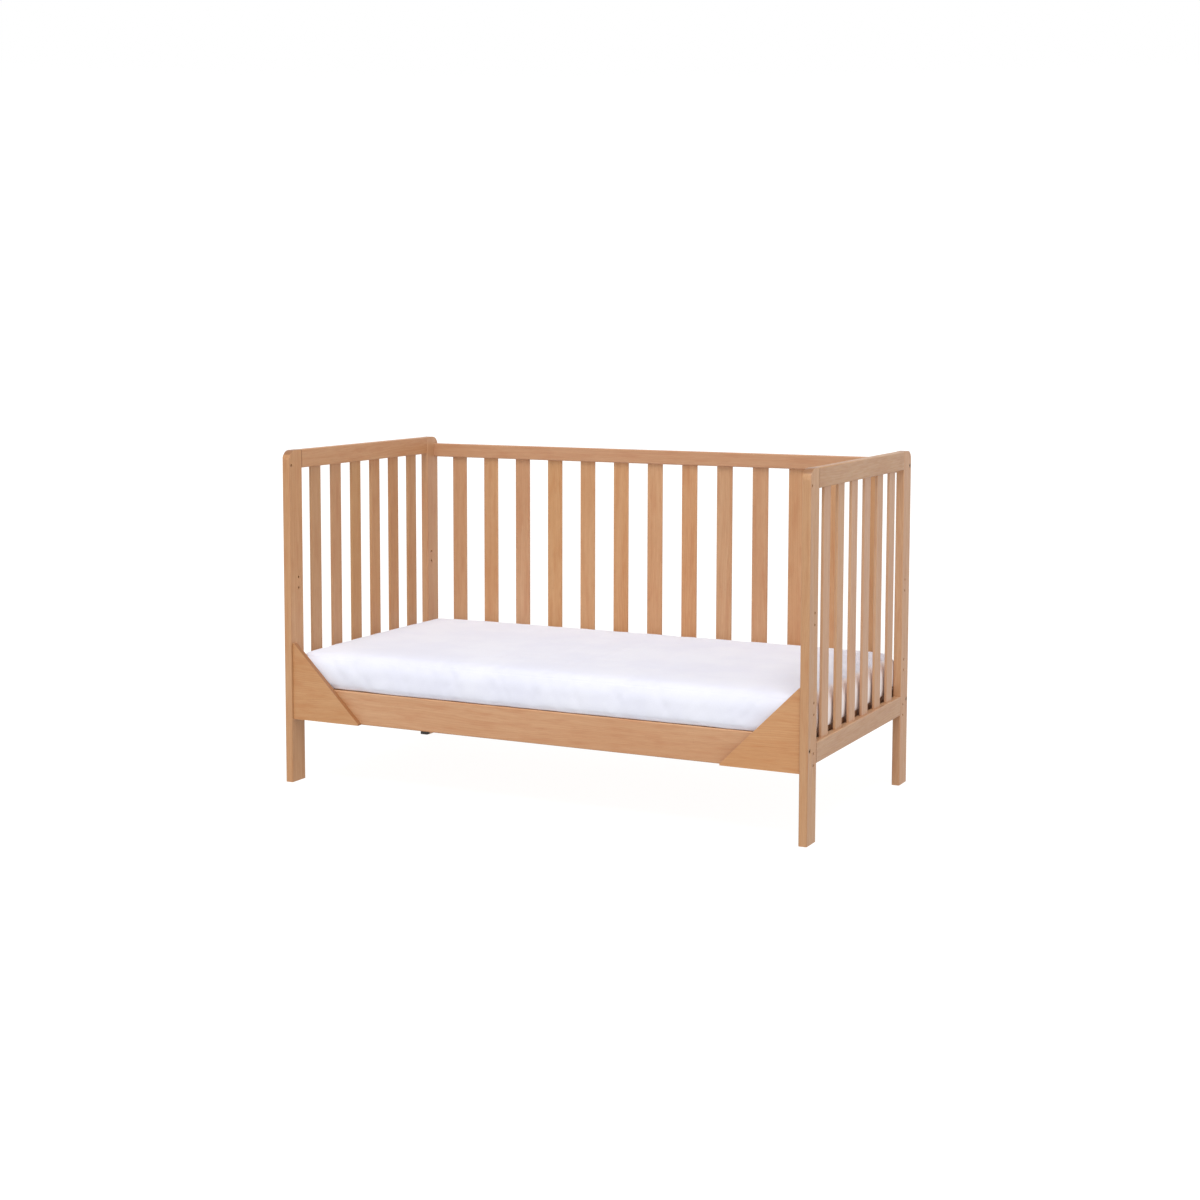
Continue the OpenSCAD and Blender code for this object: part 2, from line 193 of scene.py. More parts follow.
def bands(wood, distance, per_metre):
    """Bands that darken slowly and end sharply, as late wood does in a growth ring."""
    ring = wood.math("FRACT", wood.math("MULTIPLY", distance, per_metre))
    return wood.math("MULTIPLY", wood.remap(ring, 0.15, 0.82), wood.remap(ring, 0.84, 1.0, 1.0, 0.0))


def growth_rings(wood, name, axis, rng):
    """Broad bands and the single rings in them, round a pith that wanders along the board."""
    across = [0.0 if axis == k else 1.0 for k in "xyz"]
    pith = [float(v) for v in rng.uniform(PITH_FROM, PITH_TO, 3) * rng.choice([-1, 1], 3)]
    local = wood.vector("MULTIPLY", wood.vector("SUBTRACT", wood.coords, centre_of(name)), across)
    path = grain(wood, wood.coords, axis, PITH_PATH, detail=1.0, output="Color")
    wander = wood.vector("MULTIPLY", wood.vector("SUBTRACT", path, (0.5,) * 3), (PITH_WANDER,) * 3)
    pith_across = [p * a for p, a in zip(pith, across)]
    from_pith = wood.vector("ADD", wood.vector("ADD", local, wander), pith_across)
    wobble = wood.math("MULTIPLY", grain(wood, wood.coords, axis, RING_WOBBLE, detail=3.0), WOBBLE_DEPTH)
    radius = wood.math("ADD", wood.vector("LENGTH", from_pith), wobble)
    return bands(wood, radius, rng.uniform(*BROAD_BANDS)), bands(wood, radius, rng.uniform(*RINGS))


def edge_highlight_and_wear(wood, patches):
    """1 on the eased edges, where a lighter colour paints a highlight and also stands for worn lacquer, and
    broken up by patches.
    """
    eased = wood.add("ShaderNodeBevel", samples=4)
    eased.inputs["Radius"].default_value = EASED_EDGE
    alike = wood.vector("DOT_PRODUCT", eased.outputs[0], wood.normal())
    return wood.math("MULTIPLY", wood.remap(alike, 0.985, 0.90), wood.remap(patches, 0.35, 0.65, 0.35, 1.0))


def pine(name, axis, rng):
    """Lacquered pine with its grain along one axis. rng places the board in its tree."""
    wood = Material(name)
    placed = wood.vector("ADD", wood.coords, [float(v) for v in rng.uniform(-9.0, 9.0, 3)])
    late, ring = growth_rings(wood, name, axis, rng)
    figure = grain(wood, placed, axis, FIGURE)
    streak = grain(wood, placed, axis, STREAKS)
    fibre = grain(wood, placed, axis, FIBRES, rough=0.6)
    fleck = wood.remap(grain(wood, placed, axis, FLECKS, detail=1.0), 0.70, 0.78)
    slow = grain(wood, placed, axis, SLOW_CHANGE)

    # The colour is built up from broad bands to single fibres, then end grain, then the eased edges made
    # lighter: a painted highlight and worn lacquer.
    ring_share = wood.math("MULTIPLY", ring, wood.remap(slow, 0.3, 0.6, 0.10, 0.34))
    colour = wood.mix(wood.math("MULTIPLY", late, 0.28), PALE_WOOD, MID_WOOD)
    colour = wood.mix(ring_share, colour, RED_WOOD)
    colour = wood.mix(wood.remap(slow, 0.35, 0.70, 0.0, 0.40), colour, MID_WOOD)
    colour = wood.mix(wood.remap(figure, 0.46, 0.74, 0.0, 0.42), colour, RED_WOOD)
    colour = wood.mix(wood.remap(streak, 0.50, 0.78, 0.0, 0.24), colour, RED_WOOD)
    colour = wood.mix(wood.remap(fibre, 0.32, 0.70, 0.16, 0.0), colour, DARK_WOOD)
    colour = wood.mix(wood.math("MULTIPLY", fleck, 0.30), colour, DARK_WOOD)
    facing_end = wood.math("ABSOLUTE", wood.vector("DOT_PRODUCT", wood.normal(), AXES[axis]))
    colour = wood.mix(wood.remap(facing_end, 0.52, 0.70, 0.0, 0.72), colour, END_GRAIN)
    # The eased edges are painted lighter: a painted highlight, and worn lacquer.
    colour = wood.mix(wood.math("MULTIPLY", edge_highlight_and_wear(wood, figure), 0.45), colour, EDGE_HIGHLIGHT_AND_WEAR)

    # For the right end's boards, depth and warmth also hold painted shade and a painted sheen.
    depth, warmth = tone_and_shade(name)
    board = wood.add("ShaderNodeHueSaturation")
    board.inputs["Hue"].default_value = 0.5 + 0.003 * rng.uniform(-1.0, 1.0)
    board.inputs["Saturation"].default_value = warmth * (1.0 + 0.05 * rng.uniform(-1.0, 1.0))
    board.inputs["Value"].default_value = depth * (1.0 + 0.02 * rng.uniform(-1.0, 1.0))
    wood.put(board.inputs["Color"], colour)
    wood.shade("Base Color", board.outputs[0])
    wood.shade("Roughness", wood.remap(streak, 0.3, 0.7, 0.36, 0.48))
    wood.shade("Specular IOR Level", 0.45)
    wood.shade("Coat Weight", 0.12)
    wood.shade("Coat Roughness", 0.28)
    relief = wood.math("ADD", wood.math("MULTIPLY", fibre, 0.7), wood.math("MULTIPLY", ring, 0.4))
    wood.bump(relief, 0.18, 0.4 * MM)
    return wood.material


def tone_and_shade(name):
    """How light and how warm a board is; for the right end's boards this is also a painted sheen and
    painted shade.
    """
    for part, depth, warmth in BOARD_TONES_AND_SHADE:
        if part in name:
            return depth, warmth
    return OTHER_TONE


def centre_of(name):
    low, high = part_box(name)
    return tuple((low + high) / 2)


# ---------------------------------------------------------------- other materials
def zinc_steel():
    """Zinc-plated steel, slightly patchy."""
    zinc = Material("zinc_steel")
    patches = zinc.noise(zinc.coords, 160.0, 3.0)
    zinc.shade("Base Color", zinc.mix(patches, rgb(104, 96, 88), rgb(142, 134, 124)))
    zinc.shade("Roughness", zinc.remap(patches, 0.3, 0.7, 0.32, 0.48))
    zinc.shade("Metallic", 1.0)
    zinc.bump(zinc.noise(zinc.coords, 900.0), 0.1, 0.1 * MM)
    return zinc.material


def dark_plastic():
    """Dark moulded plastic with a fine grain."""
    moulded = Material("dark_plastic")
    grit = moulded.noise(moulded.coords, 1400.0)
    moulded.shade("Base Color", moulded.mix(grit, rgb(38, 33, 30), rgb(56, 50, 46)))
    moulded.shade("Roughness", moulded.remap(grit, 0.3, 0.7, 0.45, 0.6))
    moulded.bump(grit, 0.2, 0.15 * MM)
    return moulded.material


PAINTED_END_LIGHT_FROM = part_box("mattress")[1].x - 2 * MM   # the cover's ends are painted brighter and pinker from here, along X: painted light, and a painted pink bounce from the wood
PAINTED_END_LIGHT_BLEND = 8 * MM                           # and that painted light starts this much before
TWILL = 210.0                                  # scale of the twill's wave


def cover_cloth():
    """Closely woven white cotton with a fine twill and faint unevenness, with painted light and a painted
    pink bounce from the wood on its ends.
    """
    cloth = Material("cover_cloth")
    patches = cloth.noise(cloth.coords, 7.0, 3.0)
    yarn = cloth.noise(cloth.coords, 900.0)
    colour = cloth.mix(cloth.remap(patches, 0.3, 0.7), rgb(229, 230, 243), rgb(235, 236, 246))
    shaded = cloth.math("MULTIPLY", cloth.remap(yarn, 0.35, 0.65), 0.16)
    colour = cloth.mix(shaded, colour, rgb(210, 211, 226))
    along = cloth.math("ABSOLUTE", cloth.split(cloth.coords)["X"])
    painted_end_light = cloth.remap(along, PAINTED_END_LIGHT_FROM - PAINTED_END_LIGHT_BLEND, PAINTED_END_LIGHT_FROM)
    # Painted light: the ends, shaded by the end slats, are painted brighter, with a painted pink bounce
    # from the wood.
    colour = cloth.mix(cloth.math("MULTIPLY", painted_end_light, 0.85), colour, rgb(254, 243, 239))
    cloth.shade("Base Color", colour)
    cloth.shade("Roughness", 0.85)
    cloth.shade("Sheen Weight", 0.25)
    cloth.shade("Sheen Roughness", 0.4)
    weave = []
    for plane in ((1.0, 0.0, 1.0), (0.0, 1.0, 1.0)):
        wave = cloth.add("ShaderNodeTexWave", wave_type="BANDS", bands_direction="DIAGONAL")
        cloth.put(wave.inputs["Vector"], cloth.vector("MULTIPLY", cloth.coords, plane))
        wave.inputs["Scale"].default_value = TWILL
        wave.inputs["Distortion"].default_value = 0.6
        weave.append(wave.outputs["Fac"])
    twill = cloth.math("MULTIPLY", cloth.math("ADD", weave[0], weave[1]), 0.3)
    cloth.bump(cloth.math("ADD", twill, yarn), 0.5, 0.3 * MM)
    return cloth.material


# ---------------------------------------------------------------- the CAD pieces
SHARP = math.radians(50.0)               # edges sharper than this are eased
FLAT = math.radians(0.5)                 # faces closer than this count as one
WELDED = 0.02 * MM                       # points closer than this count as one
SLAT_EDGE, CLIP_EDGE = 0.8 * MM, 1.0 * MM


def grain_axis(name):
    """A board's grain runs along its longest side, and a corner board's along the bed."""
    low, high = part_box(name)
    size = high - low
    if name.endswith("corner_board"):
        return "x"
    return "xyz"[max(range(3), key=lambda k: size[k])]


def soften(obj, width):
    """Rounds the sharp edges that saw cuts leave."""
    weld = obj.modifiers.new("weld", "WELD")
    weld.merge_threshold = WELDED
    merge = obj.modifiers.new("flat_faces", "DECIMATE")
    merge.decimate_type = "DISSOLVE"
    merge.angle_limit = FLAT
    bevel = obj.modifiers.new("eased_edges", "BEVEL")
    bevel.width = width
    bevel.segments = 3
    bevel.limit_method = "ANGLE"
    bevel.angle_limit = SHARP


def dress(name, material):
    mesh = nodes[name].data
    mesh.materials.clear()
    mesh.materials.append(material)


def dress_cad_pieces():
    """Every CAD piece gets its material, and each board and the clip their eased edges."""
    slot_of = {s["node"]: s["material_slot"] for s in frame["record"]["subparts"]}
    steel, plastic = zinc_steel(), dark_plastic()
    rng = np.random.default_rng(7)
    for name in sorted(nodes):
        if slot_of[name] == "pine":
            dress(name, pine(name, grain_axis(name), rng))
            if "dowel" not in name:
                soften(nodes[name], SLAT_EDGE if "slat" in name else EASED_EDGE)
        elif slot_of[name] == "zinc_steel":
            dress(name, steel)
        elif slot_of[name] == "dark_plastic":
            dress(name, plastic)
            soften(nodes[name], CLIP_EDGE)


# ---------------------------------------------------------------- mattress: its form
SMALLER = Vector((4, 3.5, 0)) * MM       # the cover starts this much inside its space and swells
UNDER_GAP = 0.2 * MM                     # from the bottom of its space up to its underside
STEP = 11.5 * MM                         # spacing of the cover's points on its flat parts
EDGE_ROWS = [0, 3, 7, 12, 18, 26]        # rows of points near an edge, in mm from it
SEAM_ROWS = [0, 3, 5.5, 8, 10.5, 15]     # rows round the lower seam, in mm from the underside
LOWER_SEAM = SEAM_ROWS[3] * MM           # the seam is sewn along this one of them
SIDE_STEPS = 4                           # steps between those rows and the ones near the rim
UPRIGHT_R, TOP_R, BOTTOM_R = 25 * MM, 18 * MM, 4 * MM
SIDE_CROWN, END_CROWN, TOP_CROWN = 8 * MM, 10 * MM, 3 * MM
CROWN_DEEP = 40 * MM                     # how far inward a side's bulge is felt
FRONT_DROP, DROP_FROM = 3 * MM, 120 * MM   # how far the top falls to the front, and from where
NEAR = 0.1 * MM                          # points this close to a line lie on it
TINY = 1e-9                              # keeps a division from meeting zero


def smooth(x, low, high):
    """0 below low, 1 above high, and an S-curve between them."""
    share = np.clip((x - low) / (high - low), 0.0, 1.0)
    return share * share * (3 - 2 * share)


def between(start, end, share):
    """start where share is 0, end where it is 1, and in proportion between."""
    return start + (end - start) * share


def read_points(mesh, what="co"):
    """The places of a mesh's points, or another property of theirs, as rows of three."""
    flat = np.empty(len(mesh.vertices) * 3)
    mesh.vertices.foreach_get(what, flat)
    return flat.reshape(-1, 3)


def move_points(mesh, points):
    mesh.vertices.foreach_set("co", points.ravel())
    mesh.update()


def apply_modifiers(obj):
    """The object's mesh becomes what its modifiers make of it."""
    graph = bpy.context.evaluated_depsgraph_get()
    mesh = bpy.data.meshes.new_from_object(obj.evaluated_get(graph))
    obj.modifiers.clear()
    obj.data = mesh


def flat_rows(low, high):
    """Places from low to high: close together near both ends and a step apart between."""
    near = [r * MM for r in EDGE_ROWS]
    count = round((high - low - 2 * near[-1]) / STEP) + 1
    middle = np.linspace(low + near[-1], high - near[-1], count)
    return [low + r for r in near] + list(middle[1:-1]) + [high - r for r in reversed(near)]


def side_rows(low, high):
    """Heights of the cover's points: close round the lower seam and near the rim."""
    lower = [low + r * MM for r in SEAM_ROWS]
    upper = [high - r * MM for r in reversed(EDGE_ROWS)]
    middle = np.linspace(lower[-1], upper[0], SIDE_STEPS + 1)
    return lower + list(middle[1:-1]) + upper


def add_object(name, data):
    obj = bpy.data.objects.new(name, data)
    bpy.context.scene.collection.objects.link(obj)
    return obj


def lattice_skin(places):
    """The points and quads of a box lattice's closed skin."""
    index, points, faces = {}, [], []
    last = [len(p) - 1 for p in places]

    def point(key):
        if key not in index:
            index[key] = len(points)
            points.append([places[k][key[k]] for k in range(3)])
        return index[key]

    for axis in range(3):
        u, v = [k for k in range(3) if k != axis]
        for end in (0, last[axis]):
            for i in range(last[u]):
                for j in range(last[v]):
                    corners = []
                    for di, dj in ((0, 0), (1, 0), (1, 1), (0, 1)):
                        key = [end] * 3
                        key[u], key[v] = i + di, j + dj
                        corners.append(point(tuple(key)))
                    faces.append(corners if (end > 0) != (axis == 1) else corners[::-1])
    return np.array(points), faces


def rounded(points, low, high):
    """A box's points moved onto rounded uprights and rounded rims."""
    middle, half = np.array((low + high) / 2), np.array((high - low) / 2)
    side = np.where(points < middle, -1.0, 1.0)
    away = np.abs(points - middle)
    out = away[:, :2] - (half[:2] - UPRIGHT_R)
    corner = (out > 0).all(axis=1)
    length = np.maximum(np.linalg.norm(out, axis=1), TINY)
    out[corner] *= (out.max(axis=1) / length)[corner, None]
    reach = np.where(corner, np.linalg.norm(out, axis=1), out.max(axis=1))
    outward = np.where(corner[:, None], out / np.maximum(reach, TINY)[:, None], out == reach[:, None])
    for radius, is_end in ((TOP_R, side[:, 2] > 0), (BOTTOM_R, side[:, 2] < 0)):
        a = radius - (UPRIGHT_R - reach)
        b = radius - (half[2] - away[:, 2])
        rim = is_end & (a > 0) & (b > 0)
        scale = np.where(rim, np.maximum(a, b) / np.maximum(np.hypot(a, b), TINY), 1.0)
        out += outward * (a * (scale - 1))[:, None]
        away[:, 2] += b * (scale - 1)
    away[:, :2] = out + (half[:2] - UPRIGHT_R)
    return middle + side * away


def crown(points, low, high):
    """Sides that bulge between the seams, a top that is fuller in the middle and falls to the front."""
    middle, half = np.array((low + high) / 2), np.array((high - low) / 2)
    away = (points - middle) / half
    height = np.clip(1 - away[:, 2] ** 2, 0, 1)
    top = smooth(away[:, 2], 0.0, 1.0)
    out = points.copy()
    low_full = np.where(away[:, 2] < 0, 1 - away[:, 2] ** 10, height)
    for k, bulge in ((0, low_full * END_CROWN), (1, height * SIDE_CROWN)):
        share = smooth(np.abs(away[:, k]) * half[k], half[k] - CROWN_DEEP, half[k])
        out[:, k] += np.sign(away[:, k]) * share * bulge
    inner = np.clip(1 - away[:, 0] ** 6, 0, 1) * np.clip(1 - away[:, 1] ** 4, 0, 1)
    out[:, 2] += TOP_CROWN * inner * top
    out[:, 2] -= FRONT_DROP * (1 - smooth(points[:, 1] - low.y, 0.0, DROP_FROM)) * top
    return out


# ---------------------------------------------------------------- mattress: cloth simulation
SWELL_FRAMES = 14
SWELL_CAP = 9 * MM                       # the furthest a point may move
SIDE_HOLD, RIM_HOLD, SEAM_HOLD, UNDER_HOLD = 0.01, 0.6, 0.75, 1.0
TOP_HOLD, TOP_MORE = 0.05, 0.16          # the top's hold near the rim, and how much more in the middle
SOFT_RIM = (20 * MM, 110 * MM)           # the top's hold grows over this stretch, inward from the rim


def to_edge(flat, low, high):
    """How far each point lies from the nearest side."""
    return np.minimum.reduce([flat[:, 0] - low.x, high.x - flat[:, 0],
                              flat[:, 1] - low.y, high.y - flat[:, 1]])


def hold_weights(flat, low, high):
    """How firmly the foam holds each point of the cover: hardly at the sides, fully underneath."""
    inward = to_edge(flat, low, high)
    top = flat[:, 2] > high.z - NEAR
    hold = np.full(len(flat), SIDE_HOLD)
    hold[top] = TOP_HOLD + TOP_MORE * smooth(inward[top], *SOFT_RIM)
    hold[top & (inward < NEAR)] = RIM_HOLD
    hold[np.abs(flat[:, 2] - low.z - LOWER_SEAM) < NEAR] = SEAM_HOLD
    hold[flat[:, 2] < low.z + NEAR] = UNDER_HOLD
    return hold


def paint(obj, name, weights):
    """A vertex group with these weights, in steps of a hundredth."""
    group = obj.vertex_groups.new(name=name)
    steps = np.round(weights, 2)
    for weight in np.unique(steps):
        group.add(np.nonzero(steps == weight)[0].tolist(), float(weight), "REPLACE")


def swell(obj, hold):
    """The cover blown up a little by cloth simulation, and kept near the foam."""
    start = read_points(obj.data)
    paint(obj, "hold", hold)
    cloth = obj.modifiers.new("cover", "CLOTH")
    fabric = cloth.settings
    fabric.quality = 5
    fabric.mass = 0.2
    fabric.tension_stiffness = 10.0
    fabric.compression_stiffness = 10.0
    fabric.shear_stiffness = 4.0
    fabric.bending_stiffness = 0.3
    fabric.use_pressure = True
    fabric.uniform_pressure_force = 13.0
    fabric.shrink_min = -0.012
    fabric.vertex_group_mass = "hold"
    fabric.effector_weights.gravity = 0.0
    cloth.collision_settings.use_collision = False
    cloth.point_cache.frame_end = SWELL_FRAMES
    scene = bpy.context.scene
    for number in range(1, SWELL_FRAMES + 1):
        scene.frame_set(number)
    apply_modifiers(obj)
    scene.frame_set(1)
    moved = read_points(obj.data) - start
    length = np.linalg.norm(moved, axis=1, keepdims=True)
    capped = SWELL_CAP * np.tanh(length / SWELL_CAP) / np.maximum(length, TINY)
    move_points(obj.data, start + moved * capped)


# ---------------------------------------------------------------- mattress: folds and seams
SEAM_DEPTH, PUCKER = 1.1 * MM, 0.5 * MM
RIM_SEAM, LOW_SEAM = 0.8, 0.5            # each seam's share of the seam depth
PUCKER_HIGH = 34 * MM                    # how far puckers reach above the lower seam
PUCKER_WAVES = (0.034, 0.047, 0.081)     # lengths of the puckers' waves, in metres
CORNER_FOLDS = 4                         # folds on top that point at each corner
CORNER_REACH = (0.05, 0.17)              # how far from the corner they lie, in metres
CORNER_SWING = 0.45                      # how far they turn off it, in radians
CORNER_LENGTH = (0.05, 0.12)             # in metres
CORNER_WIDTH, CORNER_HEIGHT = (9, 13), (1.1, 2.0)   # in mm
FOLD_WIDTH = (9, 15)                     # of all other folds, in mm
RIM_ZONE = 12 * MM                       # the top's folds fade over this depth below the rim
SIDE_ZONE = (10 * MM, 22 * MM)           # the sides' folds begin between these heights

# The other folds: their number, how they turn (radians), their lengths (metres) and greatest height
TOP_FOLDS = {"count": 22, "turns": (-0.35, 0.35), "lengths": (0.10, 0.26), "height": 1.2 * MM}
SIDE_FOLDS = {"count": 26, "turns": (0.5, 2.6), "lengths": (0.03, 0.07), "height": 1.2 * MM}
END_FOLDS = {"count": 10, "turns": (0.5, 2.6), "lengths": (0.03, 0.07), "height": 0.7 * MM}


def waves(x, lengths, rng):
    """Smooth random waves of the given lengths, between about -1 and 1."""
    total = sum(np.sin(2 * np.pi * x / length + rng.uniform(0, 2 * np.pi)) for length in lengths)
    return total / len(lengths)


def seams(mesh, flat, low, high, rng):
    """A sewn line round the top rim and one low on the sides, with puckers above the lower one."""
    points, normals = read_points(mesh), read_points(mesh, "normal")
    on_side = to_edge(flat, low, high) < NEAR
    rim = on_side & (flat[:, 2] > high.z - NEAR)
    level = flat[:, 2] - low.z - LOWER_SEAM
    low_seam = on_side & (np.abs(level) < NEAR)
    depth = SEAM_DEPTH * (rim * RIM_SEAM + low_seam * LOW_SEAM)
    round_edge = flat[:, 0] + flat[:, 1]
    pucker = waves(round_edge, PUCKER_WAVES, rng) * smooth(-level, -PUCKER_HIGH, -2 * MM)
    depth += np.where(on_side & (level > NEAR), PUCKER * pucker, 0.0)
    move_points(mesh, points - normals * depth[:, None])


def ridges(u, v, folds):
    """Heights of soft folds over a surface.

    A fold is a place, a direction, a length, a width and a height.
    """
    height = np.zeros(len(u))
    for at_u, at_v, turn, length, width, lift in folds:
        du, dv = u - at_u, v - at_v
        along = du * math.cos(turn) + dv * math.sin(turn)
        across = dv * math.cos(turn) - du * math.sin(turn) + 0.12 * along ** 2 / length
        bend = np.exp(-(across / width) ** 2) - 0.45 * np.exp(-(across / (2.2 * width)) ** 2)
        height += lift * bend * np.exp(-2.0 * (along / length) ** 2)
    return height


def random_folds(kind, u_range, v_range, rng):
    """Folds of one kind, scattered over a surface."""
    return [(rng.uniform(*u_range), rng.uniform(*v_range), rng.uniform(*kind["turns"]),
             rng.uniform(*kind["lengths"]), rng.uniform(*FOLD_WIDTH) * MM,
             rng.uniform(0.5, 1.0) * kind["height"]) for _ in range(kind["count"])]


def corner_fold(corner_x, corner_y, rng):
    """A fold on top that points at a corner, given from the mattress's middle."""
    reach = rng.uniform(*CORNER_REACH)
    turn = math.atan2(math.copysign(1, corner_y), math.copysign(1, corner_x))
    turn += rng.uniform(-CORNER_SWING, CORNER_SWING)
    at_x, at_y = corner_x - reach * math.cos(turn), corner_y - reach * math.sin(turn)
    length, width = rng.uniform(*CORNER_LENGTH), rng.uniform(*CORNER_WIDTH) * MM
    return at_x, at_y, turn, length, width, rng.uniform(*CORNER_HEIGHT) * MM


def creases(mesh, flat, low, high, rng):
    """Soft folds: pulled from the corners on top, upright or slanting on the sides."""
    points, normals = read_points(mesh), read_points(mesh, "normal")
    x, y, z = flat.T
    half = (high - low) / 2
    on_top = smooth(z, high.z - RIM_ZONE, high.z)
    lift = ridges(x, y, random_folds(TOP_FOLDS, (low.x, high.x), (low.y, high.y), rng))
    for side_x in (-1, 1):
        for side_y in (-1, 1):
            folds = [corner_fold(side_x * half.x, side_y * half.y, rng) for _ in range(CORNER_FOLDS)]
            lift += ridges(x, y - (low.y + high.y) / 2, folds)
    lift *= on_top
    on_side = (1 - on_top) * smooth(z - low.z, *SIDE_ZONE)
    for k, along, kind in ((1, x, SIDE_FOLDS), (0, y, END_FOLDS)):
        side = np.abs(flat[:, k] - (low[k] + high[k]) / 2) > half[k] - NEAR
        folds = random_folds(kind, (along.min(), along.max()), (low.z + 20 * MM, high.z), rng)
        lift += ridges(along, z, folds) * side * on_side
    move_points(mesh, points + normals * lift[:, None])


# ---------------------------------------------------------------- mattress: where it lies
LAP = 8 * MM                             # how far the front's lower edge comes out over the rail
DRAWN_BACK = 0.5                         # the share of it that is left where the edge is drawn back
UNEVEN_LAP = 0.07                        # the share of it that comes and goes in waves
LAP_DEEP = 45 * MM                       # how far inward from the front it is felt
LAP_HEIGHTS = (8 * MM, 40 * MM)          # the front side follows it less and less between these
LAP_WAVES = (0.31, 0.17, 0.11)           # lengths of the waves in how far it comes out, in metres
GAP_WAVES = (0.23, 0.13, 0.07)           # lengths of the waves in its height over the rail, in metres
RAIL_GAP, UNEVEN_GAP = 0.7 * MM, 0.6 * MM
LIFTED = 0.9 * MM                        # how much higher the edge is where it is drawn back
DROP_HIGH = 20 * MM                      # how high its drop onto the rail is felt
LYING = (-0.53, -0.43)                   # along X: the edge is drawn back left of this stretch
END_HANG = 15 * MM                       # how far the ends' lower edge hangs
HANG_STARTS = (0.5 * MM, 3 * MM)         # it begins between these, outward from the base's end rails
HANG_HEIGHTS = (6 * MM, 50 * MM)         # the end follows it less and less between these
HANG_FADES = (0.27, 0.31)                # along Y, either way: no hang past this stretch
AT_POSTS = (0.26, 0.31)                  # along Y, either way: slats before this stretch, posts past it
AT_BOARDS = (0.52, 0.58)                 # along X, either way: corner boards past this stretch
PRESS = 2.5 * MM                         # depth over which the cover flattens against what it touches
SLAT_GAP, POST_GAP, BOARD_GAP = 3.5 * MM, 0.7 * MM, 0.8 * MM
RAIL_REACH = 3 * MM                      # how far past the boards' inner face the front may bulge


def lap_over_rail(points, flat, low, rng):
    """The front's lower edge lies on the rail, and draws back and lifts a little near the left end."""
    rail_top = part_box("front_rail")[1].z
    x = flat[:, 0]
    lying = smooth(x, *LYING)
    forward = between(DRAWN_BACK, 1.0, lying) * (1 - UNEVEN_LAP + UNEVEN_LAP * waves(x, LAP_WAVES, rng))
    near = smooth(-flat[:, 1], -(low.y + LAP_DEEP), -low.y)
    height = flat[:, 2] - low.z
    foot = 1 - smooth(height, *LAP_HEIGHTS)
    out = points.copy()
    out[:, 1] -= LAP * forward * near * foot
    gap = RAIL_GAP + UNEVEN_GAP * waves(x, GAP_WAVES, rng) + LIFTED * (1 - lying)
    drop = (low.z - rail_top - gap) * near * (1 - smooth(height, 0.0, DROP_HIGH))
    out[:, 2] -= drop
    return out


def hang_at_ends(points, flat, low):
    """The ends' lower edge hangs a little past the base's end rails, between the posts."""
    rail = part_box("base_right_rail")[1].x
    outside = smooth(np.abs(points[:, 0]) - rail, *HANG_STARTS)
    foot = 1 - smooth(flat[:, 2] - low.z, *HANG_HEIGHTS)
    free = 1 - smooth(np.abs(points[:, 1]), *HANG_FADES)
    out = points.copy()
    out[:, 2] -= END_HANG * outside * foot * free
    return out


def pressed(reach, limit):
    """How far the cover reaches when it flattens against something at limit."""
    free = limit - PRESS
    return np.minimum(reach, free) + PRESS * np.tanh(np.maximum(reach - free, 0.0) / PRESS)


def keep_clear(points):
    """The cover pressed flat where it would touch the end frames or the corner boards."""
    post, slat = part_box("right_front_post")[0].x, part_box("right_slat_1")[0].x
    board = -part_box("left_corner_board")[1].y
    along, across = np.abs(points[:, 0]), np.abs(points[:, 1])
    end_limit = between(slat - SLAT_GAP, post - POST_GAP, smooth(across, *AT_POSTS))
    front_limit = between(board + RAIL_REACH, board - BOARD_GAP, smooth(along, *AT_BOARDS))
    out = points.copy()
    out[:, 0] = np.sign(points[:, 0]) * pressed(along, end_limit)
    out[:, 1] = -pressed(-points[:, 1], front_limit)
    return out


def mattress_pad():
    """The mattress in its cover: swollen by simulation, then folded, sewn and laid in its place."""
    box_low, box_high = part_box("mattress")
    low, high = box_low + SMALLER, box_high - SMALLER
    low.z += UNDER_GAP
    places = [flat_rows(low.x, high.x), flat_rows(low.y, high.y), side_rows(low.z, high.z)]
    flat, faces = lattice_skin(places)
    mesh = bpy.data.meshes.new("mattress_pad")
    mesh.from_pydata(crown(rounded(flat, low, high), low, high).tolist(), [], faces)
    pad = add_object("mattress_pad", mesh)
    swell(pad, hold_weights(flat, low, high))
    rng = np.random.default_rng(11)
    creases(pad.data, flat, low, high, rng)
    seams(pad.data, flat, low, high, rng)
    lapped = lap_over_rail(read_points(pad.data), flat, low, rng)
    move_points(pad.data, keep_clear(hang_at_ends(lapped, flat, low)))
    fine = pad.modifiers.new("fine", "SUBSURF")
    fine.levels = 1
    fine.render_levels = 1
    apply_modifiers(pad)
    for face in pad.data.polygons:
        face.use_smooth = True
    pad.data.materials.append(cover_cloth())
    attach(pad, "mattress")
    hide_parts("mattress")


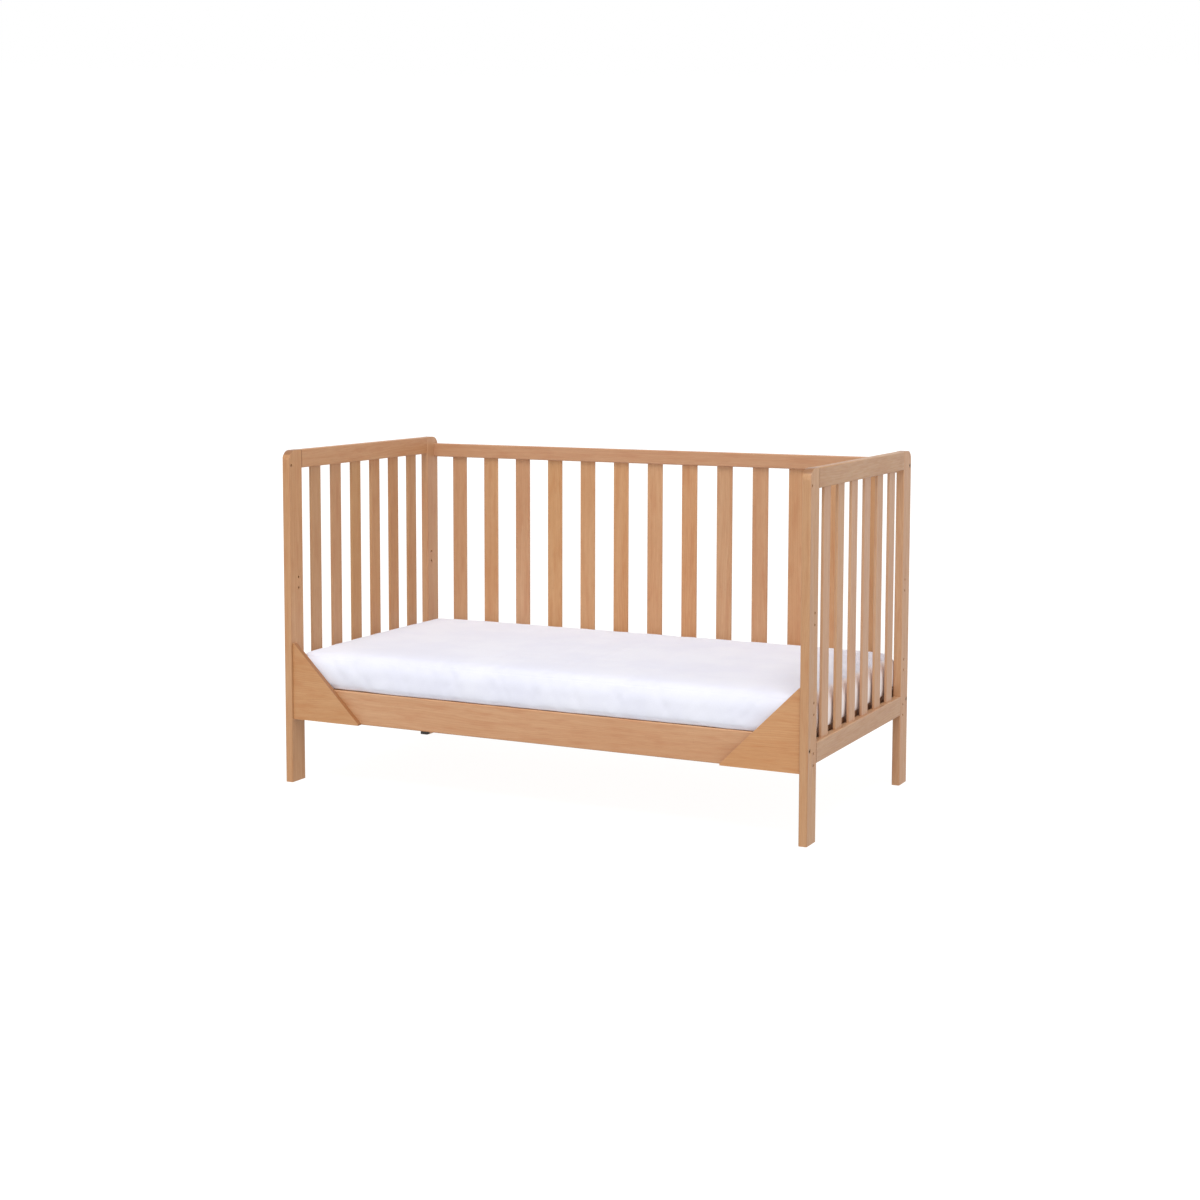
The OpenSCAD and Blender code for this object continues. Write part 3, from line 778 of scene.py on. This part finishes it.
# ---------------------------------------------------------------- stage, light and camera
FLOOR_REACH = 40.0                       # metres each way
FLOOR_SEEN, FLOOR_BOUNCE = 0.92, 0.50    # how white the floor looks, and how much it lights the bed
HORIZON, ZENITH = 1.02, 0.25             # brightness of the white surroundings, low and overhead
LOW_SKY = 0.1                            # the sine of the elevation above which they fade
RIGHT_SIDE = 1.35                        # how much brighter they are at the bed's right end
KEY_AZIMUTH, KEY_ELEVATION = 12.0, 66.0  # degrees, seen from the bed: 0 is straight in front
KEY_STRENGTH = 1.93
KEY_SPREAD = 32.0                        # how wide the key looks from the bed, in degrees
CAMERA_AT = (2.2775, -4.6397, 1.2006)
CAMERA_AZIMUTH, CAMERA_ELEVATION = 27.33, 5.33   # degrees: turned to the bed, and looking down
LENS, SENSOR = 59.8, 36.0                # mm
SHIFT_X, SHIFT_Y = 0.0369, -0.075


def floor():
    """A pale floor that looks brighter to the camera than the light it gives."""
    mesh = bpy.data.meshes.new("floor")
    corners = [(x * FLOOR_REACH, y * FLOOR_REACH, 0) for x, y in ((-1, -1), (1, -1), (1, 1), (-1, 1))]
    mesh.from_pydata(corners, [], [(0, 1, 2, 3)])
    pale = Material("pale_floor")
    pale.shade("Base Color", (0.18, 0.18, 0.179, 1.0))
    pale.shade("Roughness", 0.9)
    pale.shade("Specular IOR Level", 0.1)
    pale.shade("Emission Color", (1.0, 1.0, 0.995, 1.0))
    seen = pale.add("ShaderNodeLightPath").outputs["Is Camera Ray"]
    pale.shade("Emission Strength", pale.remap(seen, 0.0, 1.0, FLOOR_BOUNCE, FLOOR_SEEN))
    mesh.materials.append(pale.material)
    add_object("floor", mesh)


def key_light():
    """One large, soft light high in front of the bed: a sun, so the floor is even to its horizon."""
    data = bpy.data.lights.new("key", "SUN")
    data.energy = KEY_STRENGTH
    data.angle = math.radians(KEY_SPREAD)
    sun = add_object("key", data)
    sun.rotation_euler = (math.radians(90.0 - KEY_ELEVATION), 0.0, math.radians(KEY_AZIMUTH))


def studio():
    """White surroundings that light the bed more from the sides than from overhead."""
    world = bpy.data.worlds.new("studio")
    world.use_nodes = True
    sky = Nodes(world.node_tree)
    direction = sky.split(sky.add("ShaderNodeTexCoord").outputs["Generated"])
    fall = sky.remap(direction["Z"], LOW_SKY, 1.0, HORIZON, ZENITH, smooth=False)
    side = sky.remap(direction["X"], 0.0, 1.0, 1.0, RIGHT_SIDE, smooth=False)
    seen = sky.add("ShaderNodeLightPath").outputs["Is Camera Ray"]
    background = world.node_tree.nodes["Background"]
    background.inputs["Color"].default_value = (1.0, 1.0, 1.0, 1.0)
    sky.put(background.inputs["Strength"], sky.math("MAXIMUM", seen, sky.math("MULTIPLY", fall, side)))
    bpy.context.scene.world = world
    bpy.context.scene.view_settings.view_transform = "Standard"


def camera():
    """The camera stands to the right of the bed's front and looks slightly down on it."""
    data = bpy.data.cameras.new("camera")
    data.lens = LENS
    data.sensor_width = SENSOR
    data.shift_x = SHIFT_X
    data.shift_y = SHIFT_Y
    obj = add_object("camera", data)
    obj.location = CAMERA_AT
    obj.rotation_euler = (math.radians(90.0 - CAMERA_ELEVATION), 0.0, math.radians(CAMERA_AZIMUTH))
    bpy.context.scene.camera = obj


dress_cad_pieces()
mattress_pad()
floor()
key_light()
studio()
camera()
